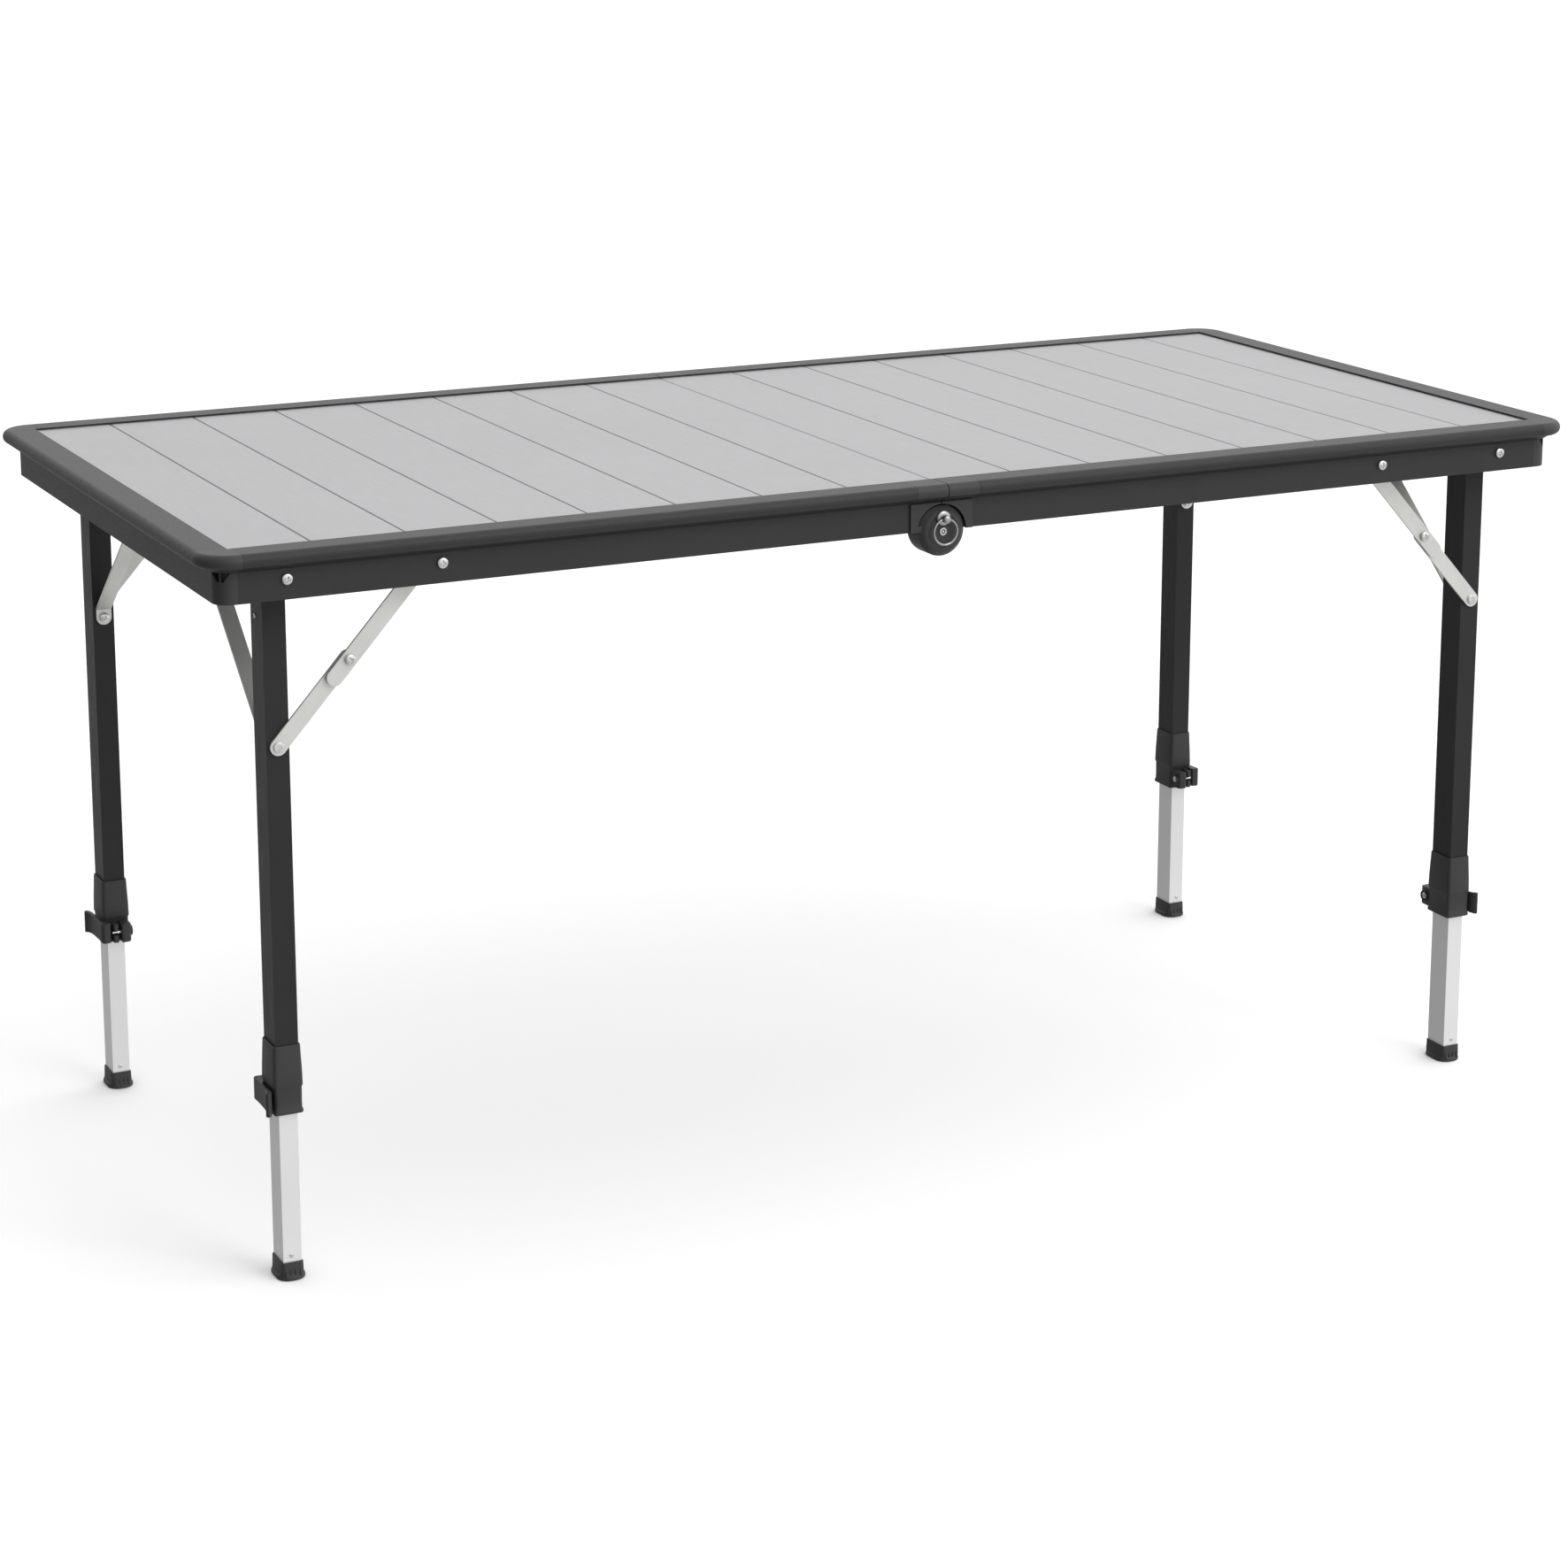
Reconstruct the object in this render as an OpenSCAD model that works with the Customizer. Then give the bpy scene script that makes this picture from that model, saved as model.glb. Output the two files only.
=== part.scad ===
// Folding picnic table: two hinged top halves of slats in a dark frame, each with a pair of
// telescopic legs, a crossbar, diagonal braces and two-link stays.
// Units are millimetres. +X runs along the table's length, +Y to its back, +Z up, floor at Z = 0.

/* [Table] */
// Length with both halves open
table_l = 1400; // [1300:10:1500]
// Width from nose to nose
table_w = 665; // [620:5:700]
// Height from the floor to the top of the frame
table_h = 670; // [650:5:700]
// Gap between the two halves at the fold
seam = 0.8; // [0.4:0.1:1.5]

/* [Frame] */
// Width of the frame's flat border, from lip to nose
border = 31; // [28:1:34]
// Radius of the rounded nose
nose_r = 6.5; // [5:0.5:8]
// Height of the whole frame section
frame_h = 45; // [42:1:50]
// Apron wall thickness
apron_t = 3; // [2:0.5:4]
// Straight stub at each end of a corner piece
corner_stub = 4; // [2:1:8]

/* [Slats] */
// Number of slats in each half
slat_n = 8; // [6:1:10]
// Gap between neighbouring slats
slat_gap = 0.8; // [0.4:0.1:2]
// Slat thickness
slat_t = 6; // [5:0.5:7]
// Depth of the slats below the frame's lip
slat_drop = 2; // [1:0.5:3]

/* [Legs] */
// Distance of the leg pivots from the fold
pivot_x = 623; // [600:1:640]
// Height of the leg and stay pivots
pivot_z = 643; // [635:1:648]
// Distance of the leg centres from the table's middle
leg_y = 264; // [240:1:280]
// Outer tube size along X
tube_x = 21; // [18:0.5:25]
// Outer tube size along Y
tube_y = 30.5; // [26:0.5:34]
// Tube wall thickness
tube_wall = 1.5; // [1:0.1:2]
// Bottom of the outer tube
tube_z = 190; // [170:5:220]
// Inner tube size along X
inner_x = 17; // [14:0.5:20]
// Inner tube size along Y
inner_y = 27; // [22:0.5:30]
// Top of the inner tube with the leg at full length
inner_top = 340; // [300:5:345]
// Height of the foot
foot_h = 12; // [10:1:16]
// Bottom and top of the clamping collar
collar_z = [156, 218];

/* [Stays and braces] */
// Distance of the stay's upper pivot from the fold
stay_x = 484; // [460:1:500]
// Drop from the leg pivot to the stay's lower rivet
stay_drop = 155; // [140:1:170]
// How much longer the upper link is than the lower one
link_extra = 16; // [10:1:20]
// Tail of the upper link past the knee
link_tail = 20; // [10:1:25]
// Width of links and braces
bar_w = 15; // [12:1:18]
// Thickness of links and braces
bar_t = 2.5; // [2:0.5:4]
// Distance of the brace's upper end from the table's middle
brace_y = 78; // [40:1:120]

/* [Hinge] */
// Distance of the hinge axis below the apron's lower edge
hinge_drop = 0.5; // [0:0.1:1]
// Radius of the round hinge lugs
lug_r = 23.5; // [20:0.5:26]
// Length of each knuckle block
knuckle_l = 32; // [28:1:40]
// Height of the lock pin above the hinge axis
pin_up = 12.5; // [10:0.5:15]

/* [Hidden] */
$fn = 48;
clear = 0.05;
lip_x = table_l / 2 - border;
lip_y = table_w / 2 - border;
apron_u = border - 16;
apron_y = lip_y + apron_u;
apron_in = apron_y - apron_t;
frame_z = table_h - frame_h;
hinge_z = frame_z - hinge_drop;
slat_end = 9.4;
slat_pitch = (lip_x + slat_end) / slat_n;
slat_z = table_h - slat_drop - slat_t;
rail_end = lip_x - corner_stub - 0.2;
knuckle_y = [lip_y - 5.5, apron_y + 2];
lug_split = apron_y - 8.7;
lug_face = apron_y + 4;
pin_z = hinge_z + pin_up;
ring_y = lug_face + 5.4;
ring_wire = 1.1;
ring_r = 11.9;
leg_face = leg_y + tube_y / 2;
leg_in = leg_y - tube_y / 2;
leg_top = pivot_z + 9;
shank_r = 3;
rivet_r = 2.5;
head_r = 4.5;
head_t = 2;
stay_run = pivot_x - stay_x;
stay_len = sqrt(stay_run * stay_run + stay_drop * stay_drop);
upper_len = (stay_len + link_extra) / 2;
lower_len = (stay_len - link_extra) / 2;
stay_angle = atan2(stay_drop, stay_run);
knee = [stay_x + upper_len * cos(stay_angle), pivot_z - upper_len * sin(stay_angle)];
lower_y = leg_face + 0.5;
upper_y = leg_face + 5.2;
bar_r = 8.5;
rivet_z = pivot_z - stay_drop;
ear_x = 7.5;
lever_x = ear_x + 5.2;
lever_y = -24;
lever_z = [158.5, 177];

// ---- helpers ----

// Places a piece drawn for the right back quarter in the quarter on side (-1 left) and row (-1 front)
module quarter(side, row) {
    mirror([side < 0 ? 1 : 0, 0, 0]) mirror([0, row < 0 ? 1 : 0, 0]) children();
}

// Stands a drawing of the XZ plane between y0 and y0 + t
module upright(y0, t) {
    translate([0, y0 + t, 0]) rotate([90, 0, 0]) linear_extrude(t) children();
}

// Cylinder along Y from y0 to y1
module rod_y(x, z, y0, y1, r) {
    translate([x, y0, z]) rotate([-90, 0, 0]) cylinder(h = y1 - y0, r = r);
}

module box(low, high) {
    translate(low) cube(high - low);
}

module bar_2d(from, length) {
    translate([from, -bar_w / 2]) square([length - from, bar_w]);
    translate([from, 0]) circle(d = bar_w);
    translate([length, 0]) circle(d = bar_w);
}

// ---- frame ----

// Length of frame section along Z: u outward from the lip, z down from the top
module rail_bar(length) {
    difference() {
        union() {
            linear_extrude(length) polygon([
                [0, 0], [border - nose_r, 0], [border - nose_r, -13], [22, -13.5],
                [apron_u, -18.2], [apron_u, -frame_h], [8, -frame_h], [8, 2.5 - frame_h],
                [apron_u - apron_t, 2.5 - frame_h], [apron_u - apron_t, -14.7], [10, -14.7],
                [10, -10.4], [-2, -10.4], [-2, -8.4], [10, -8.4], [10, -1.7], [0, -1.7]
            ]);
            linear_extrude(length) nose_2d(nose_r);
        }
        translate([12, -11.2, -1]) cube([border - nose_r - 12, 9.4, length + 2]);
        translate([0, 0, -1]) linear_extrude(length + 2) nose_2d(nose_r - 1.8);
    }
}

// Half round of the nose
module nose_2d(r) {
    translate([border - nose_r, -nose_r]) intersection() {
        circle(r);
        translate([0, -r]) square([r, 2 * r]);
    }
}

// Section of a corner piece, without the slat groove
module corner_2d() {
    nose_2d(nose_r);
    polygon([
        [0, 0], [border - nose_r, 0], [border - nose_r, -13], [22, -13.5], [apron_u, -18.2],
        [apron_u, -frame_h], [10, -frame_h], [10, -1.7], [0, -1.7]
    ]);
}

module long_rail(side, row) {
    rail_start = knuckle_l + 0.2;
    quarter(side, row) difference() {
        translate([rail_start, lip_y, table_h])
            rotate([90, 0, 90]) rail_bar(rail_end - rail_start);
        for (x = [stay_x, pivot_x])
            rod_y(x, pivot_z, apron_in - 1, apron_y + 1, shank_r + clear);
    }
}

module end_rail(side) {
    end_y = lip_y - corner_stub - 0.2;
    quarter(side, 1) translate([lip_x, end_y, table_h])
        rotate([90, 0, 0]) rail_bar(2 * end_y);
}

module corner(side, row) {
    quarter(side, row) difference() {
        union() {
            translate([lip_x, lip_y, table_h]) rotate_extrude(angle = 90) corner_2d();
            translate([lip_x - corner_stub, lip_y, table_h])
                rotate([90, 0, 90]) linear_extrude(corner_stub) corner_2d();
            translate([lip_x, lip_y, table_h])
                rotate([90, 0, 0]) linear_extrude(corner_stub) corner_2d();
        }
        // two pockets below the nose leave a rib between them
        for (turn = [0, 1])
            translate([lip_x, lip_y, table_h - 17]) rotate([0, 0, 45]) mirror([0, turn, 0])
                rotate([90, 0, 90]) translate([0, 0, 8])
                    linear_extrude(14) polygon([[0.8, 0], [9, 0], [3.2, -8.5], [0.8, -8.5]]);
        // room for the slats' corner
        box([lip_x - 5, lip_y - 5, slat_z - 0.4],
            [lip_x + slat_end + 0.3, lip_y + slat_end + 0.3, table_h - 1.7]);
    }
}

module slats(side) {
    slat_w = slat_pitch - slat_gap;
    quarter(side, 1) for (i = [0 : slat_n - 1])
        translate([i * slat_pitch + slat_gap / 2, lip_y + slat_end, slat_z])
            rotate([90, 0, 0]) linear_extrude(2 * (lip_y + slat_end)) slat_2d(slat_w);
}

module slat_2d(w) {
    wall = 1;
    chamfer = 0.7;
    cell = (w - 3 * wall) / 2;
    difference() {
        polygon([
            [0, 0], [w, 0], [w, slat_t - chamfer], [w - chamfer, slat_t],
            [chamfer, slat_t], [0, slat_t - chamfer]
        ]);
        for (i = [0, 1])
            translate([wall + i * (cell + wall), wall]) square([cell, slat_t - 2 * wall]);
    }
}

// Pivot screws of both legs and stays, each with its spacer behind the apron
module screws(side) {
    for (row = [-1, 1]) quarter(side, row) {
        for (x = [stay_x, pivot_x]) {
            rod_y(x, pivot_z, apron_y, apron_y + head_t, head_r);
        }
        rod_y(pivot_x, pivot_z, leg_in - 3.5, apron_y, shank_r);
        rod_y(pivot_x, pivot_z, leg_face + 0.3, apron_in - clear, 6.5);
        rod_y(pivot_x, pivot_z, leg_in - 3.5, leg_in - 0.5, 5.2);
        rod_y(stay_x, pivot_z, upper_y - 0.2, apron_y, shank_r);
        rod_y(stay_x, pivot_z, upper_y + bar_t + 0.15, apron_in - clear, 6.5);
        rod_y(stay_x, pivot_z, upper_y - 1.95, upper_y - 0.15, head_r);
    }
}

// ---- hinge ----

module knuckle_block(y0, y1) {
    difference() {
        union() {
            translate([seam / 2, lip_y, table_h])
                rotate([90, 0, 90]) linear_extrude(knuckle_l - seam / 2) corner_2d();
            box([seam / 2, knuckle_y[0], frame_z], [knuckle_l, knuckle_y[1], table_h - 18.6]);
        }
        rod_y(0, hinge_z, knuckle_y[0] - 1, knuckle_y[1] + 1, lug_r + 1.8);
    }
    box([10, y0, frame_z], [knuckle_l - 2, y1, frame_z + 6]);
}

// Outer lug with the hinge rivet through it
module left_knuckle(row) {
    quarter(-1, row) {
        difference() {
            union() {
                knuckle_block(lug_split + 0.4, knuckle_y[1]);
                rod_y(0, hinge_z, lug_split + 0.4, lug_face - 4, lug_r);
                translate([0, lug_face - 4, hinge_z]) rotate([-90, 0, 0])
                    cylinder(h = 4, r1 = lug_r, r2 = lug_r - 4.5);
            }
            rod_y(0, pin_z, lug_split - 1, lug_face + 1, rivet_r + clear);
        }
        rod_y(0, hinge_z, knuckle_y[0] - 2, lug_face, 4);
        rod_y(0, hinge_z, knuckle_y[0] - 3, knuckle_y[0] - 0.3, 7);
        rod_y(0, hinge_z, lug_face, lug_face + 1, 3.4);
    }
}

// Inner lug, bored for the rivet
module right_knuckle(row) {
    quarter(1, row) difference() {
        union() {
            knuckle_block(knuckle_y[0], lug_split);
            rod_y(0, hinge_z, knuckle_y[0], lug_split, lug_r);
        }
        rod_y(0, hinge_z, knuckle_y[0] - 1, lug_split + 1, 4 + clear);
    }
}

module pin(row) {
    quarter(1, row) difference() {
        union() {
            rod_y(0, pin_z, lug_split + 1.2, lug_face + 1, rivet_r);
            rod_y(0, pin_z, lug_face + 0.2, lug_face + 2, 6);
            rod_y(0, pin_z, lug_face + 2, lug_face + 8.6, 3.5);
        }
        translate([-5, ring_y, pin_z]) rotate([0, 90, 0]) cylinder(h = 10, r = 1.9);
    }
}

module ring(row) {
    quarter(1, row) translate([0, ring_y, pin_z - ring_r]) rotate([90, 0, 0])
        rotate_extrude() translate([ring_r, 0]) circle(ring_wire, $fn = 24);
}

// ---- legs ----

module box_tube(x, y, wall, z0, z1) {
    difference() {
        box([-x / 2, -y / 2, z0], [x / 2, y / 2, z1]);
        box([wall - x / 2, wall - y / 2, z0 - 1], [x / 2 - wall, y / 2 - wall, z1 + 1]);
    }
}

module outer_leg(side, row) {
    quarter(side, row) difference() {
        translate([pivot_x, leg_y, 0]) box_tube(tube_x, tube_y, tube_wall, tube_z, leg_top);
        rod_y(pivot_x, pivot_z, leg_in - 1, leg_face + 1, shank_r + clear);
        rod_y(pivot_x, rivet_z, leg_in - 1, leg_in + tube_wall + 1, rivet_r + clear);
    }
}

module inner_leg(side, row) {
    quarter(side, row) translate([pivot_x, leg_y, 0])
        box_tube(inner_x, inner_y, tube_wall, foot_h, inner_top);
}

module foot(side, row) {
    plug = 2 * tube_wall + 0.6;
    quarter(side, row) translate([pivot_x, leg_y, 0]) {
        difference() {
            union() {
                for (y = [-4.5, 4.5])
                    translate([0, y, 0]) cylinder(h = 3.5, r = 12.9);
                box([-12.9, -4.5, 0], [12.9, 4.5, 3.5]);
                box([-10, -15, 0], [10, 15, foot_h]);
            }
            // grip grooves across the sole
            for (x = [-8, 0, 8])
                box([x - 1, -18, -1], [x + 1, 18, 1.5]);
        }
        box([(plug - inner_x) / 2, (plug - inner_y) / 2, foot_h - 1],
            [(inner_x - plug) / 2, (inner_y - plug) / 2, foot_h + 20]);
    }
}

module crossbar(side) {
    end_y = leg_in - 0.1;
    quarter(side, 1) difference() {
        rod_y(pivot_x, pivot_z, -end_y, end_y, bar_r);
        rod_y(pivot_x, pivot_z, -end_y - 1, end_y + 1, bar_r - 1.5);
    }
}

// Strap from a tab on the leg up to a tab under the crossbar, bent twice on the flat
module brace(side, row) {
    tab_y = leg_in - 0.1;
    top_z = pivot_z - bar_r - 0.1;
    bend_z = rivet_z + 9;
    bend_y = brace_y + 10;
    // set-back of the inner corner at the lower and the upper bend
    slope = atan2(top_z - bend_z, tab_y - bend_y);
    low = bar_t * tan((90 - slope) / 2);
    high = bar_t * tan(slope / 2);
    quarter(side, row) difference() {
        union() {
            translate([pivot_x - bar_w / 2, 0, 0]) rotate([90, 0, 90]) linear_extrude(bar_w)
                polygon([
                    [tab_y, rivet_z], [tab_y, bend_z], [bend_y, top_z],
                    [brace_y - 7, top_z], [brace_y - 7, top_z - bar_t],
                    [bend_y - high, top_z - bar_t], [tab_y - bar_t, bend_z - low],
                    [tab_y - bar_t, rivet_z]
                ]);
            rod_y(pivot_x, rivet_z, tab_y - bar_t, tab_y, bar_w / 2);
        }
        rod_y(pivot_x, rivet_z, tab_y - bar_t - 1, tab_y + 1, rivet_r + clear);
    }
}

// Rivets that hold the braces to the legs and to the crossbar
module leg_rivets(side) {
    tab_y = leg_in - 0.1 - bar_t;
    for (row = [-1, 1]) quarter(side, row) {
        rod_y(pivot_x, rivet_z, tab_y - 1.8, tab_y, head_r);
        rod_y(pivot_x, rivet_z, tab_y - 1, leg_in + tube_wall, rivet_r);
        translate([pivot_x, brace_y, pivot_z - bar_r - 0.1 - bar_t - 1.8])
            cylinder(h = 1.8, r = head_r);
    }
}

// Sleeve on the outer tube with a split clamp below it
module collar(side, row) {
    outer_x = 25;
    outer_y = 34;
    quarter(side, row) translate([pivot_x, leg_y, 0]) difference() {
        union() {
            box([-outer_x / 2, -outer_y / 2, 179], [outer_x / 2, outer_y / 2, collar_z[1]]);
            box([-outer_x / 2 + 0.8, -outer_y / 2, collar_z[0]],
                [outer_x / 2 - 0.8, outer_y / 2, 180]);
            // ears of the clamp screw
            box([-ear_x, -31, collar_z[0] + 2], [ear_x, 0, 177]);
        }
        box([-tube_x / 2 - 0.2, -tube_y / 2 - 0.2, tube_z - 0.2],
            [tube_x / 2 + 0.2, tube_y / 2 + 0.2, collar_z[1] + 1]);
        box([-inner_x / 2 - 0.3, -inner_y / 2 - 0.3, collar_z[0] - 1],
            [inner_x / 2 + 0.3, inner_y / 2 + 0.3, tube_z]);
        // split of the clamp
        box([-1, -32, collar_z[0] - 1], [1, 0, 178]);
    }
}

// Cam lever, closed along the collar's outward face, with its free end turned out
module lever(side, row) {
    tall = lever_z[1] - lever_z[0];
    quarter(side, row) translate([pivot_x + lever_x, leg_y, lever_z[0]]) {
        translate([0, lever_y, 0]) cylinder(h = tall, r = 5);
        translate([1.5, lever_y, 0]) cube([3.5, 14 - lever_y, tall]);
        translate([1.5, 12, 0]) cube([8, 3.4, tall]);
    }
}

// ---- stays ----

module upper_link(side, row) {
    quarter(side, row) difference() {
        upright(upper_y, bar_t) translate([stay_x, pivot_z]) rotate(-stay_angle)
            bar_2d(0, upper_len + link_tail);
        rod_y(stay_x, pivot_z, upper_y - 1, upper_y + bar_t + 1, shank_r + clear);
        rod_y(knee[0], knee[1], upper_y - 1, upper_y + bar_t + 1, rivet_r + clear);
    }
}

// Carries the knee rivet with its washer, and the head of the rivet at the leg
module lower_link(side, row) {
    link_out = lower_y + bar_t;
    quarter(side, row) {
        upright(lower_y, bar_t) translate(knee) rotate(-stay_angle) bar_2d(0, lower_len);
        rod_y(knee[0], knee[1], link_out, upper_y - 0.2, 5);
        rod_y(knee[0], knee[1], link_out, upper_y + bar_t + 0.5, rivet_r);
        rod_y(knee[0], knee[1], upper_y + bar_t + 0.15, upper_y + bar_t + 2, head_r);
        rod_y(pivot_x, rivet_z, link_out, link_out + 1.7, head_r);
    }
}

// ---- coloured sub-parts ----

module dark(c = 0.2) {
    color([c, c, c]) children();
}

module silver() {
    color([0.76, 0.76, 0.77]) children();
}

dark(0.35) long_rail(-1, -1);  // left_front_rail
dark(0.35) long_rail(-1, 1);  // left_back_rail
dark(0.35) end_rail(-1);  // left_end_rail
dark(0.3) corner(-1, -1);  // left_corner_front
dark(0.3) corner(-1, 1);  // left_corner_back
dark(0.28) left_knuckle(-1);  // left_knuckle_front
dark(0.28) left_knuckle(1);  // left_knuckle_back
silver() slats(-1);  // left_slats
silver() screws(-1);  // left_screws
dark(0.35) long_rail(1, -1);  // right_front_rail
dark(0.35) long_rail(1, 1);  // right_back_rail
dark(0.35) end_rail(1);  // right_end_rail
dark(0.3) corner(1, -1);  // right_corner_front
dark(0.3) corner(1, 1);  // right_corner_back
dark(0.28) right_knuckle(-1);  // right_knuckle_front
dark(0.28) right_knuckle(1);  // right_knuckle_back
silver() slats(1);  // right_slats
silver() screws(1);  // right_screws
dark() crossbar(-1);  // left_crossbar
dark() crossbar(1);  // right_crossbar
silver() leg_rivets(-1);  // left_leg_rivets
silver() leg_rivets(1);  // right_leg_rivets
dark() outer_leg(-1, -1);  // fl_leg
dark() outer_leg(-1, 1);  // bl_leg
dark() outer_leg(1, -1);  // fr_leg
dark() outer_leg(1, 1);  // br_leg
silver() brace(-1, -1);  // fl_brace
silver() brace(-1, 1);  // bl_brace
silver() brace(1, -1);  // fr_brace
silver() brace(1, 1);  // br_brace
dark() collar(-1, -1);  // fl_collar
dark() collar(-1, 1);  // bl_collar
dark() collar(1, -1);  // fr_collar
dark() collar(1, 1);  // br_collar
silver() inner_leg(-1, -1);  // fl_inner
silver() inner_leg(-1, 1);  // bl_inner
silver() inner_leg(1, -1);  // fr_inner
silver() inner_leg(1, 1);  // br_inner
dark() foot(-1, -1);  // fl_foot
dark() foot(-1, 1);  // bl_foot
dark() foot(1, -1);  // fr_foot
dark() foot(1, 1);  // br_foot
dark(0.15) lever(-1, -1);  // fl_lever
dark(0.15) lever(-1, 1);  // bl_lever
dark(0.15) lever(1, -1);  // fr_lever
dark(0.15) lever(1, 1);  // br_lever
silver() upper_link(-1, -1);  // fl_upper_link
silver() upper_link(-1, 1);  // bl_upper_link
silver() upper_link(1, -1);  // fr_upper_link
silver() upper_link(1, 1);  // br_upper_link
silver() lower_link(-1, -1);  // fl_lower_link
silver() lower_link(-1, 1);  // bl_lower_link
silver() lower_link(1, -1);  // fr_lower_link
silver() lower_link(1, 1);  // br_lower_link
silver() pin(-1);  // front_pin
silver() pin(1);  // back_pin
silver() ring(-1);  // front_ring
silver() ring(1);  // back_ring
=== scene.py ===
"""Looks of the folding picnic table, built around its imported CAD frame."""

import math

import bpy
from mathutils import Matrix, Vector


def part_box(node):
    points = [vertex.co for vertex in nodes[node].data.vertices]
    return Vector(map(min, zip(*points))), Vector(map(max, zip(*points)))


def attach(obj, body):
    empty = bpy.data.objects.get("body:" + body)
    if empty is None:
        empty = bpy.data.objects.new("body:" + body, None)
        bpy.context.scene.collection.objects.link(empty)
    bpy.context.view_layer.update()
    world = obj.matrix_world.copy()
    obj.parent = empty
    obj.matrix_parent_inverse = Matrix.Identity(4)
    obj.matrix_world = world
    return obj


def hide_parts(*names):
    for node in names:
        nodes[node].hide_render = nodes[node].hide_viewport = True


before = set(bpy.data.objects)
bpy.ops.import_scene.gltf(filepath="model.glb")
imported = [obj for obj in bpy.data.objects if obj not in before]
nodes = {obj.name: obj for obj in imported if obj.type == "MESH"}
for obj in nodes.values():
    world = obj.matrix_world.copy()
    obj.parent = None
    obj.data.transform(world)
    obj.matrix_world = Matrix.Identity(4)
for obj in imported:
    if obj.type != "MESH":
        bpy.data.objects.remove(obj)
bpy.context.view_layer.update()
scene = bpy.context.scene

# ---- places, in metres, as in the CAD model ----

PIVOT_X, PIVOT_Z = 0.623, 0.643
STAY_X = 0.484
LEG_Y = 0.264
TUBE_X, TUBE_Y = 0.021, 0.0305
APRON_Y = 0.3165
HINGE_Z = 0.6245
PIN_Z = 0.637
LUG_FACE = 0.3205
KNEE_X, KNEE_Z = 0.55884, 0.55954
RIVET_R, RIVET_Z = 0.0047, 0.488
LEG_SCREW_Y, LEG_SCREW_Z = LEG_Y - 0.004, 0.600
LEG_SCREW_SUNK = 0.0003
BRACE_Y, BAR_TAB_Z = 0.078, 0.63195
CORNER_X, CORNER_Y = 0.669, 0.3015
POCKET_LOW, POCKET_HIGH = 0.6405, 0.6545
EAR_LOW, EAR_HIGH = 0.1580, 0.1770
BOLT_Z = 0.1680
LINK_OUT = LEG_Y + TUBE_Y / 2 + 0.003
KNEE_OUT = LEG_Y + TUBE_Y / 2 + 0.0082
TAB_Y = LEG_Y - TUBE_Y / 2 - 0.00265
SLAT_COUNT, SLAT_GAP = 8, 0.0008
QUARTERS = {"fl": (-1, -1), "bl": (-1, 1), "fr": (1, -1), "br": (1, 1)}
SIDES = {-1: "left", 1: "right"}
ROWS = {-1: "front", 1: "back"}


# ---- materials ----

def material(name, base, rough, metal=0.0, spec=0.5, tint=0.06, tint_scale=9.0, rough_amt=0.08,
             grain=900.0, bump=0.05, stretch=(1, 1, 1), dust=0.0):
    """Principled surface with a mottled colour, uneven gloss and a fine grain in its bump."""
    m = bpy.data.materials.new(name)
    m.use_nodes = True
    t = m.node_tree
    t.nodes.clear()
    out = t.nodes.new("ShaderNodeOutputMaterial")
    bsdf = t.nodes.new("ShaderNodeBsdfPrincipled")
    t.links.new(bsdf.outputs[0], out.inputs[0])
    bsdf.inputs["Metallic"].default_value = metal
    bsdf.inputs["Specular IOR Level"].default_value = spec
    coords = t.nodes.new("ShaderNodeTexCoord")

    def noise(scale, detail, squeeze=(1, 1, 1)):
        mapping = t.nodes.new("ShaderNodeMapping")
        mapping.inputs["Scale"].default_value = squeeze
        t.links.new(coords.outputs["Object"], mapping.inputs["Vector"])
        n = t.nodes.new("ShaderNodeTexNoise")
        n.inputs["Scale"].default_value = scale
        n.inputs["Detail"].default_value = detail
        t.links.new(mapping.outputs[0], n.inputs["Vector"])
        return n.outputs["Fac"]

    def spread(value, low, high):
        r = t.nodes.new("ShaderNodeMapRange")
        r.inputs["From Min"].default_value = 0.3
        r.inputs["From Max"].default_value = 0.7
        r.inputs["To Min"].default_value = low
        r.inputs["To Max"].default_value = high
        t.links.new(value, r.inputs["Value"])
        return r.outputs["Result"]

    mottle = noise(tint_scale, 4.0)
    fine = noise(grain, 2.0, stretch)
    ramp = t.nodes.new("ShaderNodeValToRGB")
    ramp.color_ramp.elements[0].position = 0.3
    ramp.color_ramp.elements[1].position = 0.7
    ramp.color_ramp.elements[0].color = [c * (1 - tint) for c in base] + [1]
    ramp.color_ramp.elements[1].color = [min(1, c * (1 + tint)) for c in base] + [1]
    t.links.new(mottle, ramp.inputs[0])
    colour = ramp.outputs[0]
    if dust:
        mix = t.nodes.new("ShaderNodeMix")
        mix.data_type = "RGBA"
        mix.inputs["B"].default_value = (0.32, 0.31, 0.30, 1)
        t.links.new(colour, mix.inputs["A"])
        t.links.new(spread(noise(38.0, 8.0), 0.0, dust), mix.inputs["Factor"])
        colour = mix.outputs["Result"]
    t.links.new(colour, bsdf.inputs["Base Color"])
    t.links.new(spread(fine, rough - rough_amt, rough + rough_amt), bsdf.inputs["Roughness"])
    b = t.nodes.new("ShaderNodeBump")
    b.inputs["Strength"].default_value = bump
    b.inputs["Distance"].default_value = 0.0004
    t.links.new(fine, b.inputs["Height"])
    t.links.new(b.outputs[0], bsdf.inputs["Normal"])
    return m


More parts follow.
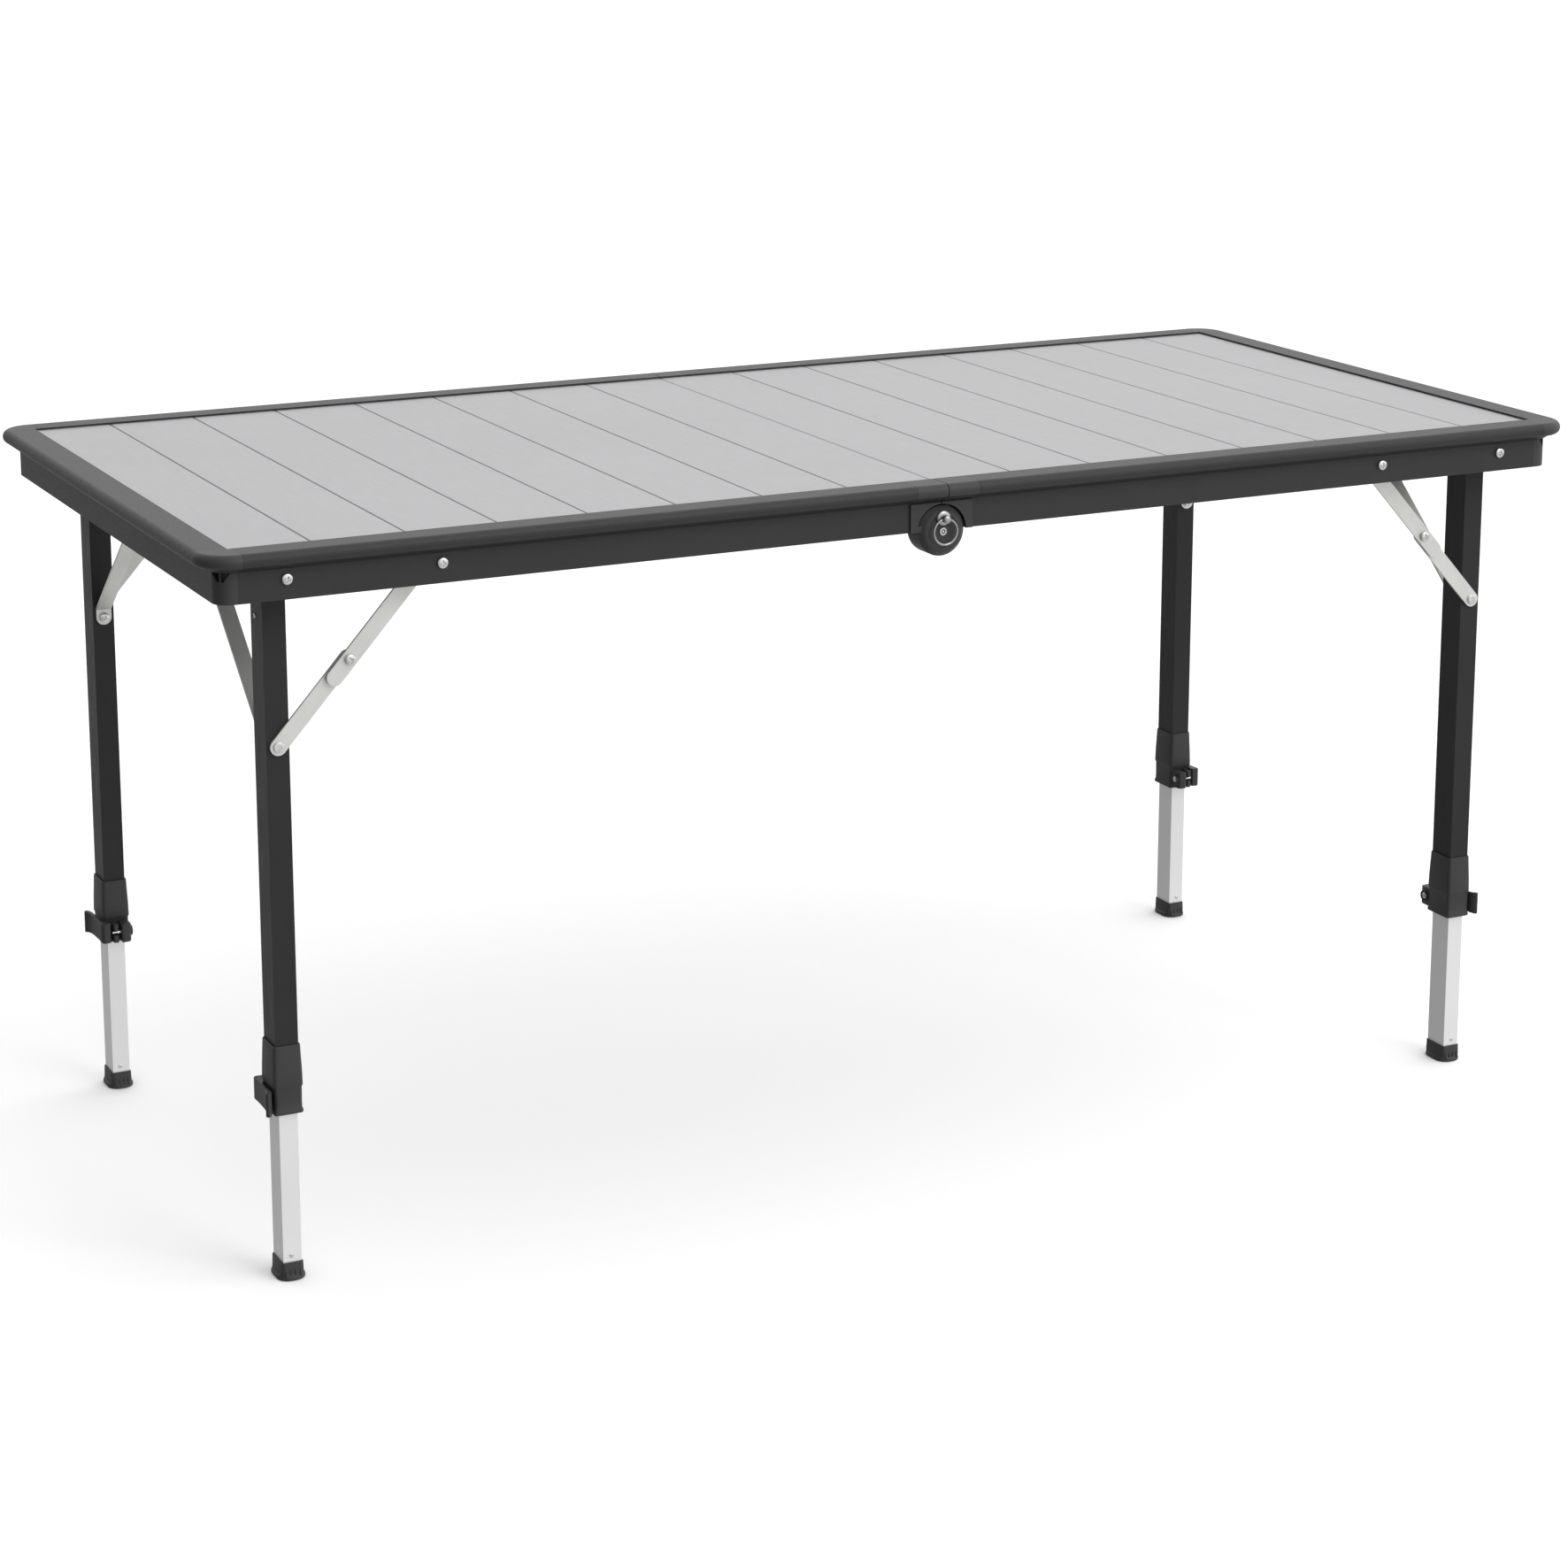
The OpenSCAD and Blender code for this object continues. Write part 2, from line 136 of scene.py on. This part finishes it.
MATS = {
    "frame": material("anodised_dark_grey", (0.025, 0.025, 0.026), 0.52, spec=0.28, tint=0.04,
                      grain=700.0, bump=0.03, dust=0.006),
    "leg": material("anodised_black", (0.023, 0.023, 0.024), 0.46, spec=0.16,
                    grain=600.0, bump=0.03, stretch=(1, 1, 0.05), dust=0.005),
    "slat": material("brushed_slats", (0.325, 0.325, 0.333), 0.48, metal=0.2, tint=0.02,
                     tint_scale=4.0, rough_amt=0.04, grain=900.0, bump=0.02,
                     stretch=(1, 0.03, 1)),
    "tube": material("satin_tube", (0.74, 0.74, 0.745), 0.38, metal=0.55, tint=0.03,
                     rough_amt=0.05, grain=900.0, bump=0.03, stretch=(1, 1, 0.03)),
    "steel": material("zinc_plate", (0.60, 0.60, 0.575), 0.42, metal=0.55, tint=0.05,
                      tint_scale=30.0, rough_amt=0.07, grain=500.0, bump=0.05),
    "screw": material("bright_steel", (0.60, 0.60, 0.60), 0.26, metal=1.0, tint=0.10,
                      tint_scale=200.0, rough_amt=0.08, grain=1500.0, bump=0.04),
    "pin": material("satin_pin", (0.38, 0.38, 0.38), 0.36, metal=1.0, tint=0.12,
                    tint_scale=260.0, rough_amt=0.08, grain=900.0, bump=0.05),
    "chrome": material("chrome_wire", (0.34, 0.34, 0.35), 0.10, metal=1.0, tint=0.05,
                       tint_scale=120.0, rough_amt=0.05, grain=900.0, bump=0.01),
    "plastic": material("moulded_plastic", (0.030, 0.030, 0.031), 0.54, spec=0.36, tint=0.08,
                        grain=1100.0, bump=0.12, dust=0.008),
}
BEVELS = {"frame": 0.0005, "leg": 0.0016, "slat": 0.0003, "tube": 0.0013, "steel": 0.0004,
          "screw": 0.0004, "pin": 0.0004, "chrome": 0, "plastic": 0.0009}
SMOOTH_BELOW = math.radians(32)
BEVEL_ABOVE = math.radians(40)


def kind(name):
    """Which material a CAD node takes."""
    if name.endswith("_rail"):
        return "frame"
    if name.endswith("slats"):
        return "slat"
    if name.endswith(("_leg", "crossbar")):
        return "leg"
    if name.endswith("_inner"):
        return "tube"
    if name.endswith(("_link", "_brace")):
        return "steel"
    if name.endswith("_pin"):
        return "pin"
    if name.endswith(("screws", "rivets")):
        return "screw"
    if name.endswith("_ring"):
        return "chrome"
    return "plastic"


def smooth(o):
    for p in o.data.polygons:
        p.use_smooth = True
    o.data.set_sharp_from_angle(angle=SMOOTH_BELOW)


def bevel(o, width):
    b = o.modifiers.new("edge", "BEVEL")
    b.width = width
    b.segments = 2
    b.limit_method = "ANGLE"
    b.angle_limit = BEVEL_ABOVE
    b.use_clamp_overlap = True


for name, o in nodes.items():
    what = kind(name)
    o.data.materials.clear()
    o.data.materials.append(MATS[what])
    smooth(o)
    if BEVELS[what]:
        bevel(o, BEVELS[what])


# ---- shapes ----

def piece(name, verts, faces, mat, body, edge=0.0):
    """A mesh that moves with a CAD body."""
    me = bpy.data.meshes.new(name)
    me.from_pydata(verts, [], faces)
    me.validate()
    o = bpy.data.objects.new(name, me)
    scene.collection.objects.link(o)
    o.data.materials.append(MATS[mat])
    smooth(o)
    if edge:
        bevel(o, edge)
    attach(o, body)
    return o


def flipped(faces):
    """The same faces, turned over."""
    return [tuple(reversed(f)) for f in faces]


def skin(rows, n, closed=False):
    """Quads between neighbouring rings of n vertices; closed joins the last to the first."""
    faces = []
    for i in range(rows if closed else rows - 1):
        a, b = i * n, ((i + 1) % rows) * n
        for k in range(n):
            j = (k + 1) % n
            faces.append((a + k, a + j, b + j, b + k))
    return faces


def axes(axis):
    """Unit vectors along the axis and across it."""
    axis = Vector(axis).normalized()
    side = axis.orthogonal().normalized()
    return axis, side, axis.cross(side)


def turned(profile, centre, axis, n=40):
    """Vertices and faces of a profile [(radius, height)] turned about axis at centre."""
    axis, side, other = axes(axis)
    verts = []
    for r, h in profile:
        for k in range(n):
            a = 2 * math.pi * k / n
            across = (side * math.cos(a) + other * math.sin(a)) * r
            verts.append(Vector(centre) + axis * h + across)
    return verts, skin(len(profile), n)


def pan_head(centre, axis, radius, side_h, top_h, turn=0.0, n=48, rings=14):
    """Domed screw head with a cross recess: side wall, then a height field on polar rings."""
    axis, side, other = axes(axis)
    arm, reach = radius * 0.13, radius * 0.52
    verts = []

    def ring(r, height):
        for k in range(n):
            a = 2 * math.pi * k / n
            x, y = r * math.cos(a), r * math.sin(a)
            u = x * math.cos(turn) + y * math.sin(turn)
            v = -x * math.sin(turn) + y * math.cos(turn)
            h = height
            if r < reach and min(abs(u), abs(v)) < arm:
                h -= radius * 0.30 * (1 - 0.5 * r / reach)
            verts.append(Vector(centre) + axis * h + side * x + other * y)

    ring(radius, 0.0)
    ring(radius, side_h)
    for i in range(rings + 1):
        q = 1 - i / rings
        r = max(radius * 0.98 * q, radius * 0.02)
        ring(r, side_h + (top_h - side_h) * math.sqrt(max(0.0, 1 - (0.97 * q) ** 2)))
    count = rings + 3
    faces = skin(count, n)
    faces.append(tuple((count - 1) * n + k for k in range(n)))
    return verts, faces


def outline(hx, hy, corner, n=5):
    """Points of a rounded rectangle, anticlockwise."""
    pts = []
    for cx, cy, start in ((1, 1, 0), (-1, 1, 90), (-1, -1, 180), (1, -1, 270)):
        for k in range(n + 1):
            a = math.radians(start + 90 * k / n)
            pts.append((cx * (hx - corner) + corner * math.cos(a),
                        cy * (hy - corner) + corner * math.sin(a)))
    return pts


def arc_band(inner, outer, start, stop, step=10):
    """Outline of a thin arc: along the inner radius and back along the outer one."""
    there, back = range(start, stop + 1, step), range(stop, start - 1, -step)
    return [(r * math.cos(math.radians(a)), r * math.sin(math.radians(a)))
            for r, turns in ((inner, there), (outer, back)) for a in turns]


def lofted(sections, centre, mirror):
    """A skin through rounded rectangles (z, half x, half y, corner), closed on itself."""
    verts = [(centre[0] + mirror[0] * x, centre[1] + mirror[1] * y, z)
             for z, hx, hy, corner in sections for x, y in outline(hx, hy, corner)]
    faces = skin(len(sections), len(verts) // len(sections), closed=True)
    return verts, flipped(faces) if mirror[0] * mirror[1] < 0 else faces


def prism(points, z0, z1, centre, mirror):
    """A flat outline raised from z0 to z1."""
    n = len(points)
    verts = [(centre[0] + mirror[0] * x, centre[1] + mirror[1] * y, z)
             for z in (z0, z1) for x, y in points]
    faces = [tuple(reversed(range(n))), tuple(range(n, 2 * n))] + skin(2, n)
    return verts, flipped(faces) if mirror[0] * mirror[1] < 0 else faces


def add_head(name, body, *shape, turn=0.0):
    """A screw or rivet head; shape is centre, axis, radius, side height and top height."""
    piece(name, *pan_head(*shape, turn=turn), "screw", body)


# ---- pieces of the top ----

# outline of a tongue, across and up, a little wider near its top
TONGUE = [(-0.0005, 0.0004), (0.0005, 0.0004), (0.0005, 0.0053), (0.00076, 0.0056),
          (0.0, 0.0055), (-0.00076, 0.0056), (-0.0005, 0.0053)]
TONGUE_INSET = 0.001


def add_corner_web(side, row):
    """The web that closes the back of a corner's pockets."""
    v, f = prism(arc_band(0.0092, 0.0098, 0, 90), POCKET_LOW, POCKET_HIGH,
                 (side * CORNER_X, row * CORNER_Y), (side, row))
    piece(f"{SIDES[side]}_{ROWS[row]}_corner_web", v, flipped(f), "plastic",
          f"{SIDES[side]}_half")


def add_tongues(side):
    """Dark tongues in the grooves between neighbouring slats."""
    side_name = SIDES[side]
    (low_x, low_y, low_z), (high_x, high_y, _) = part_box(f"{side_name}_slats")
    pitch = (high_x - low_x + SLAT_GAP) / SLAT_COUNT
    m = len(TONGUE)
    v, f = [], []
    for i in range(1, SLAT_COUNT):
        start = len(v)
        for y in (low_y + TONGUE_INSET, high_y - TONGUE_INSET):
            v += [(side * i * pitch + x, y, low_z + z) for x, z in TONGUE]
        ends = [tuple(range(m)), tuple(reversed(range(m, 2 * m)))]
        f += [tuple(start + k for k in q) for q in ends]
        f += [(start + k, start + m + k, start + m + (k + 1) % m, start + (k + 1) % m)
              for k in range(m)]
    piece(f"{side_name}_slat_tongues", v, f, "leg", f"{side_name}_half")


def add_frame_heads(side, row):
    """Heads over the plain ones of the apron's screws and of the brace's two rivets."""
    corner, legs = f"{SIDES[side]}_{ROWS[row]}", f"{SIDES[side]}_legs"
    for place, x in (("stay", STAY_X), ("leg", PIVOT_X)):
        add_head(f"{corner}_{place}_screw_head", f"{SIDES[side]}_half",
                 (side * x, row * APRON_Y, PIVOT_Z), (0, row, 0), 0.0048, 0.00205, 0.0034,
                 turn=0.5 + x * 9 + row)
    add_head(f"{corner}_brace_rivet_head", legs, (side * PIVOT_X, row * TAB_Y, RIVET_Z),
             (0, -row, 0), RIVET_R, 0.0019, 0.0031, turn=0.3)
    add_head(f"{corner}_bar_rivet_head", legs, (side * PIVOT_X, row * BRACE_Y, BAR_TAB_Z),
             (0, 0, -1), RIVET_R, 0.0019, 0.0030, turn=0.9)


# ---- pieces of a leg; x and y run from its centre, away from the table's middle ----

# tapered sleeve, step, narrower clamp and a flared rim, hollow for the tubes
COLLAR = [(0.2185, 0.0119, 0.0165, 0.0030), (0.2180, 0.0124, 0.0170, 0.0034),
          (0.2100, 0.0127, 0.0173, 0.0034), (0.1950, 0.0133, 0.0179, 0.0034),
          (0.1815, 0.0136, 0.0182, 0.0034), (0.1805, 0.0134, 0.0180, 0.0034),
          (0.1795, 0.0128, 0.0174, 0.0032), (0.1650, 0.0126, 0.0172, 0.0032),
          (0.1600, 0.0128, 0.0174, 0.0032), (0.1580, 0.0136, 0.0182, 0.0036),
          (0.1562, 0.0136, 0.0182, 0.0036), (0.1557, 0.0132, 0.0178, 0.0034),
          # and back up the inside
          (0.1557, 0.0095, 0.0146, 0.0016), (0.1606, 0.0093, 0.0144, 0.0014),
          (0.1614, 0.0088, 0.0138, 0.0012), (0.1890, 0.0088, 0.0138, 0.0012),
          (0.1895, 0.0108, 0.0156, 0.0014), (0.2180, 0.0108, 0.0156, 0.0014),
          (0.2185, 0.0110, 0.0158, 0.0015)]
# ears on the side towards the table's middle: one solid, one forked round the bolt
SOLID_EAR = [(0.0014, -0.0150), (0.0114, -0.0150), (0.0112, -0.0175), (0.0112, -0.0290),
             (0.0094, -0.0322), (0.0024, -0.0328), (0.0014, -0.0316)]
FORKED_EAR = [(0.0012, -0.0150), (0.0108, -0.0150), (0.0084, -0.0172), (0.0066, -0.0200),
              (0.0066, -0.0275), (0.0058, -0.0302), (0.0022, -0.0306), (0.0012, -0.0296)]
# name, side of the slit, outline, low and high
EARS = (("inward", -1, SOLID_EAR, EAR_LOW, EAR_HIGH), ("upper", 1, FORKED_EAR, 0.1704, EAR_HIGH),
        ("lower", 1, FORKED_EAR, EAR_LOW, 0.1656), ("web", 1, FORKED_EAR[:4], 0.1640, 0.1720))
EAR_EDGE = 0.0011
BOLT_RECESS = [(0.0056, -0.0030), (0.0056, 0.0006), (0.0052, 0.0012), (0.0046, 0.0012),
               (0.0043, -0.0004), (0.0, -0.0004)]
BOLT_SHANK = [(0.0, -0.0030), (0.0017, -0.0030), (0.0017, 0.0071), (0.0, 0.0071)]
# how far the bolt's parts lie inwards from the leg's centre
RECESS_X, BOLT_HEAD_X = 0.0118, 0.0114
BOLT_HEAD_Y, BOLT_SHANK_Y = 0.0245, 0.0262
# cam lever from the cam to the finger tab: x, y and half thickness
LEVER = [(0.0126, -0.0290, 0.0030), (0.0128, -0.0268, 0.0046), (0.0130, -0.0235, 0.0050),
         (0.0140, -0.0195, 0.0040), (0.0152, -0.0150, 0.0027), (0.0160, -0.0080, 0.0021),
         (0.0163, 0.0000, 0.0019), (0.0165, 0.0090, 0.0020), (0.0172, 0.0148, 0.0022),
         (0.0190, 0.0188, 0.0023), (0.0212, 0.0210, 0.0018)]
LEVER_START, LEVER_LENGTH = 0.029, 0.050
LEVER_TOP = 0.1785
LEVER_WAIST = 0.0012
# how far the lever widens downwards and upwards from the cam to the tab
LEVER_DROP, LEVER_RISE = 0.0010, 0.0008
# boot round the tube, flared oval tread, and back up the inside
BOOT = [(0.0165, 0.0096, 0.0147, 0.0024), (0.0160, 0.0100, 0.0151, 0.0028),
        (0.0062, 0.0104, 0.0155, 0.0034), (0.0046, 0.0110, 0.0161, 0.0060),
        (0.0038, 0.0127, 0.0173, 0.0110), (0.0032, 0.0131, 0.0177, 0.0114),
        (0.0008, 0.0132, 0.0178, 0.0115), (0.0, 0.0126, 0.0172, 0.0110),
        (0.0, 0.0060, 0.0100, 0.0050), (0.0020, 0.0058, 0.0098, 0.0048),
        (0.0030, 0.0020, 0.0050, 0.0015), (0.0120, 0.0084, 0.0135, 0.0014),
        (0.0165, 0.0085, 0.0136, 0.0014)]
RIB_PLACES = (-0.0066, -0.0022, 0.0022, 0.0066)
RIB_HALF, RIB_ROOT, RIB_FACE = 0.0008, 0.0148, 0.0172
RIB_LOW, RIB_HIGH, RIB_LEAN = 0.0030, 0.0100, 0.0014
FOOT_SCREW_X, FOOT_SCREW_Y, FOOT_SCREW_Z = 0.001, 0.0132, 0.0225
FOOT_FACES = {-1: "inner", 1: "outer"}


def add_leg_heads(key, side, row):
    """Heads of the stay's knee and lower rivets, and the small screw high on the leg."""
    lower_link = f"{key}_stay_lower"
    add_head(f"{key}_knee_head", lower_link, (side * KNEE_X, row * KNEE_OUT, KNEE_Z),
             (0, row, 0), RIVET_R, 0.0018, 0.0032, turn=1.1)
    add_head(f"{key}_lower_head", lower_link, (side * PIVOT_X, row * LINK_OUT, RIVET_Z),
             (0, row, 0), RIVET_R, 0.00175, 0.0021, turn=0.2)
    add_head(f"{key}_leg_screw", f"{SIDES[side]}_legs",
             (side * (PIVOT_X + TUBE_X / 2 - LEG_SCREW_SUNK), row * LEG_SCREW_Y, LEG_SCREW_Z),
             (side, 0, 0), 0.0024, 0.0006, 0.0014)


def add_collar(key, side, row):
    """Clamping collar with its ears and bolt."""
    legs = f"{SIDES[side]}_legs"
    centre = (side * PIVOT_X, row * LEG_Y)
    v, f = lofted(COLLAR, centre, (side, row))
    shell = piece(f"{key}_collar_shell", v, f, "plastic", legs)
    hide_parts(f"{key}_collar")
    for ear_name, end, cheek, low, high in EARS:
        v, f = prism([(end * x, y) for x, y in cheek], low, high, centre, (side, row))
        if end < 0:
            f = flipped(f)
        piece(f"{key}_ear_{ear_name}", v, f, "plastic", legs, edge=EAR_EDGE)
    bolt_y = centre[1] - row * BOLT_HEAD_Y
    v, f = turned(BOLT_RECESS, (centre[0] - side * RECESS_X, bolt_y, BOLT_Z), (-side, 0, 0))
    piece(f"{key}_bolt_recess", v, f, "plastic", legs)
    add_head(f"{key}_bolt_head", legs, (centre[0] - side * BOLT_HEAD_X, bolt_y, BOLT_Z),
             (-side, 0, 0), 0.0033, 0.0007, 0.0015, turn=0.4)
    v, f = turned(BOLT_SHANK, (centre[0], centre[1] - row * BOLT_SHANK_Y, BOLT_Z),
                  (side, 0, 0), n=24)
    piece(f"{key}_bolt", v, f, "screw", legs)


def add_lever(key, side, row):
    """Cam lever: a cam beside the forked ear, a waisted bar, and a finger tab turned out."""
    centre = (side * PIVOT_X, row * LEG_Y)
    left, right = [], []
    for i, (x, y, w) in enumerate(LEVER):
        a = Vector(LEVER[max(i - 1, 0)][:2])
        b = Vector(LEVER[min(i + 1, len(LEVER) - 1)][:2])
        d = (b - a).normalized()
        left.append((x - d.y * w, y + d.x * w))
        right.append((x + d.y * w, y - d.x * w))
    v, f = prism(left + right[::-1], 0.0, 1.0, centre, (side, row))
    shaped = []
    for x, y, z in v:
        along = (row * (y - centre[1]) + LEVER_START) / LEVER_LENGTH
        waist = LEVER_WAIST * math.sin(math.pi * min(1.0, max(0.0, along)))
        low = EAR_LOW - LEVER_DROP * along + waist
        high = LEVER_TOP + LEVER_RISE * along - waist
        shaped.append((x, y, low if z < 0.5 else high))
    lever = piece(f"{key}_lever_grip", shaped, flipped(f), "plastic", f"{key}_cam_lever",
                  edge=0.0009)
    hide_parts(f"{key}_lever")


def add_foot(key, side, row):
    """Foot with small ribs that lean in, and a screw above it on two faces."""
    inner_body = f"{key}_inner_leg"
    centre = (side * PIVOT_X, row * LEG_Y)
    v, f = lofted(BOOT, centre, (side, row))
    foot = piece(f"{key}_foot_boot", v, f, "plastic", inner_body)
    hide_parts(f"{key}_foot")
    for face, face_name in FOOT_FACES.items():
        for k, off in enumerate(RIB_PLACES):
            pts = [(off - RIB_HALF, RIB_ROOT * face), (off + RIB_HALF, RIB_ROOT * face),
                   (off + RIB_HALF, RIB_FACE * face), (off - RIB_HALF, RIB_FACE * face)]
            v, f = prism(pts, RIB_LOW, RIB_HIGH, centre, (side, row))
            if face < 0:
                f = flipped(f)
            rib = piece(f"{key}_foot_rib_{face_name}_{k}", v, f, "plastic", inner_body,
                        edge=0.0004)
            for vert in rib.data.vertices:
                if vert.co.z > 0.005 and abs(vert.co.y - centre[1]) > 0.016:
                    vert.co.y -= row * face * RIB_LEAN
        add_head(f"{key}_foot_screw_{face_name}", inner_body,
                 (centre[0] + side * FOOT_SCREW_X, centre[1] + row * face * FOOT_SCREW_Y,
                  FOOT_SCREW_Z), (0, row * face, 0), 0.0021, 0.0004, 0.0009)


# ---- pieces of a hinge; profiles are radius and height over the lug ----

LUG_RING = [(0.0148, -0.0001), (0.0151, 0.0004), (0.0157, 0.0006), (0.0176, 0.0006),
            (0.0184, 0.0002), (0.0189, -0.0004)]
HINGE_RIVET = [(0.0037, 0.0), (0.0037, 0.0011), (0.0032, 0.0015), (0.0022, 0.0015),
               (0.0018, 0.0009), (0.0012, 0.0009), (0.0009, 0.0013), (0.0, 0.0014)]
PIN_COLLAR = [(0.0037, 0.0), (0.0068, 0.0004), (0.0070, 0.0012), (0.0066, 0.0020),
              (0.0052, 0.0028), (0.0040, 0.0031), (0.0036, 0.0031)]
PIN_TIP = [(0.0036, 0.0), (0.0035, 0.0007), (0.0028, 0.0014), (0.0015, 0.0018), (0.0, 0.0019)]
# painted shade: back and front of a dark strip that closes the gap round the lug from behind
GAP_SHADE_BACK, GAP_SHADE_FRONT = 0.2975, 0.3000


def add_hinge(row):
    """Painted shade: a dark strip closing the gap round the lug from behind; then a dished ring
    and silver rivet on the lug, and the lock pin's domed head.
    """
    row_name = ROWS[row]
    pin = f"{row_name}_lock_pin"
    # painted shade: a dark plastic strip behind the gap round the lug, so the gap looks dark and
    # no light shows through it
    gap_shade_arc = arc_band(0.0238, 0.0250, 20, 160)
    v = [(x, row * y, HINGE_Z + z) for y in (GAP_SHADE_BACK, GAP_SHADE_FRONT) for x, z in gap_shade_arc]
    n = len(gap_shade_arc)
    f = [tuple(range(n)), tuple(reversed(range(n, 2 * n)))]
    f += [(k, n + k, n + (k + 1) % n, (k + 1) % n) for k in range(n)]
    if row < 0:
        f = flipped(f)
    piece(f"{row_name}_lug_gap_shade_strip", v, f, "plastic", "left_half")
    for name, profile, out, z, mat, body, n in (
            ("lug_ring", LUG_RING, -0.0001, HINGE_Z, "plastic", "left_half", 72),
            ("hinge_rivet_head", HINGE_RIVET, 0.0, HINGE_Z, "screw", "left_half", 40),
            ("pin_collar", PIN_COLLAR, 0.0001, PIN_Z, "pin", pin, 48),
            ("pin_tip", PIN_TIP, 0.0085, PIN_Z, "pin", pin, 40)):
        v, f = turned(profile, (0, row * (LUG_FACE + out), z), (0, row, 0), n)
        piece(f"{row_name}_{name}", v, f, mat, body)


for side in SIDES:
    for row in ROWS:
        add_corner_web(side, row)
for side in SIDES:
    add_tongues(side)
for side in SIDES:
    for row in ROWS:
        add_frame_heads(side, row)
for key, (side, row) in QUARTERS.items():
    add_leg_heads(key, side, row)
    add_collar(key, side, row)
    add_lever(key, side, row)
    add_foot(key, side, row)
for row in ROWS:
    add_hinge(row)

# ---- floor, light and camera ----

FLOOR, FLOOR_Z = 40.0, -0.0002
WALL_SIDES, WALL_RADIUS, WALL_HEIGHT = 48, 0.95 * FLOOR, 24.0


def surroundings(name, verts, faces, look, values):
    """A plain mesh round the object, with constant values on its surface; it isn't a lamp."""
    me = bpy.data.meshes.new(name)
    me.from_pydata(verts, [], faces)
    o = bpy.data.objects.new(name, me)
    scene.collection.objects.link(o)
    m = bpy.data.materials.new(look)
    m.use_nodes = True
    for socket, value in values.items():
        m.node_tree.nodes["Principled BSDF"].inputs[socket].default_value = value
    m.cycles.emission_sampling = "NONE"
    me.materials.append(m)
    return o


floor = surroundings(
    "floor", [(x * FLOOR, y * FLOOR, FLOOR_Z) for x, y in ((-1, -1), (1, -1), (1, 1), (-1, 1))],
    [(0, 1, 2, 3)], "pale_floor",
    {"Base Color": (0.97, 0.97, 0.97, 1), "Roughness": 0.9, "Specular IOR Level": 0.1,
     "Emission Color": (1, 1, 1, 1), "Emission Strength": 0.05})
# the floor shows its own white but doesn't light the table from below
floor.visible_diffuse = False
floor.visible_glossy = False

# a white wall far behind the object, seen by the camera only
wall_ring = [(WALL_RADIUS * math.cos(2 * math.pi * k / WALL_SIDES),
              WALL_RADIUS * math.sin(2 * math.pi * k / WALL_SIDES)) for k in range(WALL_SIDES)]
wall = surroundings(
    "backdrop", [(x, y, z) for z in (FLOOR_Z, WALL_HEIGHT) for x, y in wall_ring],
    skin(2, WALL_SIDES), "white_backdrop",
    {"Base Color": (0.9, 0.9, 0.9, 1), "Emission Color": (1, 1, 1, 1), "Emission Strength": 1.0})
for ray in ("diffuse", "glossy", "transmission", "shadow"):
    setattr(wall, f"visible_{ray}", False)

# a bright room that falls off towards the left and towards the floor
world = bpy.data.worlds.new("studio")
scene.world = world
world.use_nodes = True
w = world.node_tree
w.nodes["Background"].inputs["Color"].default_value = (1, 1, 1, 1)
direction = w.nodes.new("ShaderNodeTexCoord")
parts = w.nodes.new("ShaderNodeSeparateXYZ")
w.links.new(direction.outputs["Generated"], parts.inputs[0])


def room(axis, low, high, dark, bright):
    """Brightness of the room along one axis."""
    r = w.nodes.new("ShaderNodeMapRange")
    r.interpolation_type = "SMOOTHSTEP"
    r.inputs["From Min"].default_value = low
    r.inputs["From Max"].default_value = high
    r.inputs["To Min"].default_value = dark
    r.inputs["To Max"].default_value = bright
    w.links.new(parts.outputs[axis], r.inputs["Value"])
    return r.outputs["Result"]


level = w.nodes.new("ShaderNodeMath")
level.operation = "MULTIPLY"
w.links.new(room("X", -0.95, 0.4, 0.40, 1.52), level.inputs[0])
w.links.new(room("Z", -0.35, 0.15, 0.58, 1.0), level.inputs[1])
w.links.new(level.outputs[0], w.nodes["Background"].inputs["Strength"])


def softbox(name, place, target, size, power):
    """A large area light aimed at target."""
    data = bpy.data.lights.new(name, "AREA")
    data.shape = "RECTANGLE"
    data.size, data.size_y = size
    data.energy = power
    o = bpy.data.objects.new(name, data)
    scene.collection.objects.link(o)
    o.location = place
    o.rotation_mode = "QUATERNION"
    o.rotation_quaternion = (Vector(place) - Vector(target)).to_track_quat("Z", "Y")


softbox("key_light", (1.2, -3.2, 3.2), (0, 0, 0.5), (2.0, 1.4), 38)

camera_data = bpy.data.cameras.new("camera")
camera = bpy.data.objects.new("camera", camera_data)
scene.collection.objects.link(camera)
YAW, PITCH = math.radians(26.239), math.radians(12.518)
ahead = Vector((math.sin(YAW) * math.cos(PITCH), math.cos(YAW) * math.cos(PITCH),
                -math.sin(PITCH)))
camera.location = (-1.5908, -3.2214, 1.3421)
camera.rotation_mode = "QUATERNION"
camera.rotation_quaternion = ahead.to_track_quat("-Z", "Y")
camera_data.sensor_width = 36.0
camera_data.lens = 85.417
camera_data.shift_y = -0.15
scene.camera = camera
scene.view_settings.view_transform = "Standard"

bpy.context.view_layer.update()
